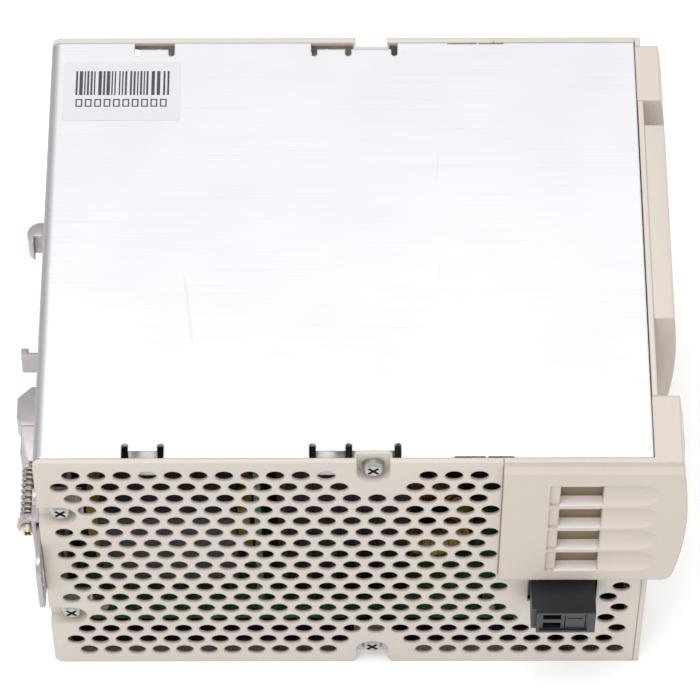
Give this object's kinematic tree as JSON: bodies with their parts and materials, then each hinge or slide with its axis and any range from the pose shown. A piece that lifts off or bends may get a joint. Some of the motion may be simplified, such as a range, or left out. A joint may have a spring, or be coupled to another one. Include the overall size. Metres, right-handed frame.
{
  "type": "din rail power supply",
  "caption": "Boxed mains power supply for a 35 mm rail, with vented end panels, terminal covers, a sprung rail latch and a pull-off signal plug.",
  "frame": {"origin": "middle of the face the unit lies on, on the underside of its side cover", "axes": "+X towards the front with the terminals, +Y towards the unit's top end, +Z out of the brushed side plate; a rail runs along Z"},
  "size_m": [0.1627, 0.1359, 0.0952],
  "materials": {
    "side_plate_aluminium": "brushed",
    "panel_paint": "fine satin paint",
    "cover_plastic": "fine moulded texture",
    "label_film": "printed film",
    "zinc_plate": "dull plated",
    "screw_steel": "bright plated",
    "spring_steel": "dark oiled",
    "brass_plate": "plated",
    "black_plastic": "moulded",
    "header_plastic": "moulded",
    "adjuster_plastic": "moulded",
    "adjuster_body_plastic": "moulded",
    "light_pipe": "clear moulded",
    "contact_copper": "tinned copper",
    "board_laminate": "solder mask",
    "capacitor_sleeve": "heat shrunk sleeve",
    "ferrite": "sintered",
    "winding_tape": "tape",
    "winding_copper": "enamelled wire",
    "heatsink_aluminium": "extruded",
    "semiconductor_epoxy": "moulded",
    "iron_powder": "painted core",
    "film_capacitor_case": "potted case",
    "fuse_tube": "ceramic tube",
    "relay_case": "moulded"
  },
  "bodies": {
    "housing": {"chassis": "side_plate_aluminium", "side_cover": "side_plate_aluminium", "bottom_grille": "panel_paint", "top_grille": "panel_paint", "front_panel": "panel_paint", "middle_cover": "cover_plastic", "input_cover": "cover_plastic", "output_cover": "cover_plastic", "label": "label_film", "grille_screws": "screw_steel", "side_screws": "screw_steel", "rail_bracket": "zinc_plate", "latch_spring": "spring_steel", "latch_guide": "zinc_plate", "bracket_screws": "screw_steel", "signal_header": "header_plastic", "adjuster_body": "adjuster_body_plastic", "switch_body": "black_plastic", "status_lights": "light_pipe", "output_block": "black_plastic", "input_block": "black_plastic", "terminal_contacts": "contact_copper", "main_board": "board_laminate", "front_board": "board_laminate", "control_board": "board_laminate", "standoffs": "screw_steel", "board_screws": "screw_steel", "bulk_capacitors": "capacitor_sleeve", "transformer_core": "ferrite", "transformer_coil": "winding_tape", "heatsinks": "heatsink_aluminium", "power_semiconductors": "semiconductor_epoxy", "bridge_rectifier": "semiconductor_epoxy", "filter_choke_core": "ferrite", "filter_choke_winding": "winding_copper", "output_choke_core": "iron_powder", "output_choke_winding": "winding_copper", "filter_capacitors": "film_capacitor_case", "fuse": "fuse_tube", "output_capacitors": "capacitor_sleeve", "relay": "relay_case"},
    "latch": {"rail_latch": "zinc_plate", "latch_screw": "brass_plate"},
    "signal_plug": {"signal_plug": "black_plastic"},
    "adjuster": {"adjuster": "adjuster_plastic"},
    "mode_switch": {"mode_switch": "adjuster_plastic"},
    "output_screw_1": {"output_screw_1": "screw_steel"},
    "output_clamp_1": {"output_clamp_1": "screw_steel"},
    "output_screw_2": {"output_screw_2": "screw_steel"},
    "output_clamp_2": {"output_clamp_2": "screw_steel"},
    "output_screw_3": {"output_screw_3": "screw_steel"},
    "output_clamp_3": {"output_clamp_3": "screw_steel"},
    "output_screw_4": {"output_screw_4": "screw_steel"},
    "output_clamp_4": {"output_clamp_4": "screw_steel"},
    "input_screw_1": {"input_screw_1": "screw_steel"},
    "input_clamp_1": {"input_clamp_1": "screw_steel"},
    "input_screw_2": {"input_screw_2": "screw_steel"},
    "input_clamp_2": {"input_clamp_2": "screw_steel"},
    "input_screw_3": {"input_screw_3": "screw_steel"},
    "input_clamp_3": {"input_clamp_3": "screw_steel"}
  },
  "joints": [
    {"name": "latch_slide", "type": "slide", "parent": "housing", "child": "latch", "axis": [0, -1, 0], "range_m": [0, 0.005], "stiffness_N_per_m": 1500, "springref_m": -0.004, "deforming": ["latch_spring"]},
    {"name": "plug_slide", "type": "slide", "parent": "housing", "child": "signal_plug", "axis": [0, -1, 0], "range_m": [0, 0.012]},
    {"name": "adjuster_turn", "type": "hinge", "parent": "housing", "child": "adjuster", "pos_m": [0.07, 0.02, 0.022], "axis": [-1, 0, 0], "range_deg": [-135, 135]},
    {"name": "mode_switch_slide", "type": "slide", "parent": "housing", "child": "mode_switch", "axis": [0, 1, 0], "range_m": [0, 0.003]},
    {"name": "output_screw_1_turn", "type": "hinge", "parent": "housing", "child": "output_screw_1", "pos_m": [0.066, -0.0535, 0.0844], "axis": [-1, 0, 0], "range_deg": [0, 1800]},
    {"name": "output_clamp_1_rise", "type": "slide", "parent": "housing", "child": "output_clamp_1", "axis": [1, 0, 0], "range_m": [0, 0.0035]},
    {"name": "output_screw_2_turn", "type": "hinge", "parent": "housing", "child": "output_screw_2", "pos_m": [0.066, -0.0535, 0.0743], "axis": [-1, 0, 0], "range_deg": [0, 1800]},
    {"name": "output_clamp_2_rise", "type": "slide", "parent": "housing", "child": "output_clamp_2", "axis": [1, 0, 0], "range_m": [0, 0.0035]},
    {"name": "output_screw_3_turn", "type": "hinge", "parent": "housing", "child": "output_screw_3", "pos_m": [0.066, -0.0535, 0.0642], "axis": [-1, 0, 0], "range_deg": [0, 1800]},
    {"name": "output_clamp_3_rise", "type": "slide", "parent": "housing", "child": "output_clamp_3", "axis": [1, 0, 0], "range_m": [0, 0.0035]},
    {"name": "output_screw_4_turn", "type": "hinge", "parent": "housing", "child": "output_screw_4", "pos_m": [0.066, -0.0535, 0.0541], "axis": [-1, 0, 0], "range_deg": [0, 1800]},
    {"name": "output_clamp_4_rise", "type": "slide", "parent": "housing", "child": "output_clamp_4", "axis": [1, 0, 0], "range_m": [0, 0.0035]},
    {"name": "input_screw_1_turn", "type": "hinge", "parent": "housing", "child": "input_screw_1", "pos_m": [0.066, 0.0535, 0.0793], "axis": [-1, 0, 0], "range_deg": [0, 1800]},
    {"name": "input_clamp_1_rise", "type": "slide", "parent": "housing", "child": "input_clamp_1", "axis": [1, 0, 0], "range_m": [0, 0.0035]},
    {"name": "input_screw_2_turn", "type": "hinge", "parent": "housing", "child": "input_screw_2", "pos_m": [0.066, 0.0535, 0.0692], "axis": [-1, 0, 0], "range_deg": [0, 1800]},
    {"name": "input_clamp_2_rise", "type": "slide", "parent": "housing", "child": "input_clamp_2", "axis": [1, 0, 0], "range_m": [0, 0.0035]},
    {"name": "input_screw_3_turn", "type": "hinge", "parent": "housing", "child": "input_screw_3", "pos_m": [0.066, 0.0535, 0.0591], "axis": [-1, 0, 0], "range_deg": [0, 1800]},
    {"name": "input_clamp_3_rise", "type": "slide", "parent": "housing", "child": "input_clamp_3", "axis": [1, 0, 0], "range_m": [0, 0.0035]}
  ],
  "couplings": [
    {"joint": "output_screw_1_turn", "follows": "output_clamp_1_rise", "rad_per_m": 8976},
    {"joint": "output_screw_2_turn", "follows": "output_clamp_2_rise", "rad_per_m": 8976},
    {"joint": "output_screw_3_turn", "follows": "output_clamp_3_rise", "rad_per_m": 8976},
    {"joint": "output_screw_4_turn", "follows": "output_clamp_4_rise", "rad_per_m": 8976},
    {"joint": "input_screw_1_turn", "follows": "input_clamp_1_rise", "rad_per_m": 8976},
    {"joint": "input_screw_2_turn", "follows": "input_clamp_2_rise", "rad_per_m": 8976},
    {"joint": "input_screw_3_turn", "follows": "input_clamp_3_rise", "rad_per_m": 8976}
  ]
}
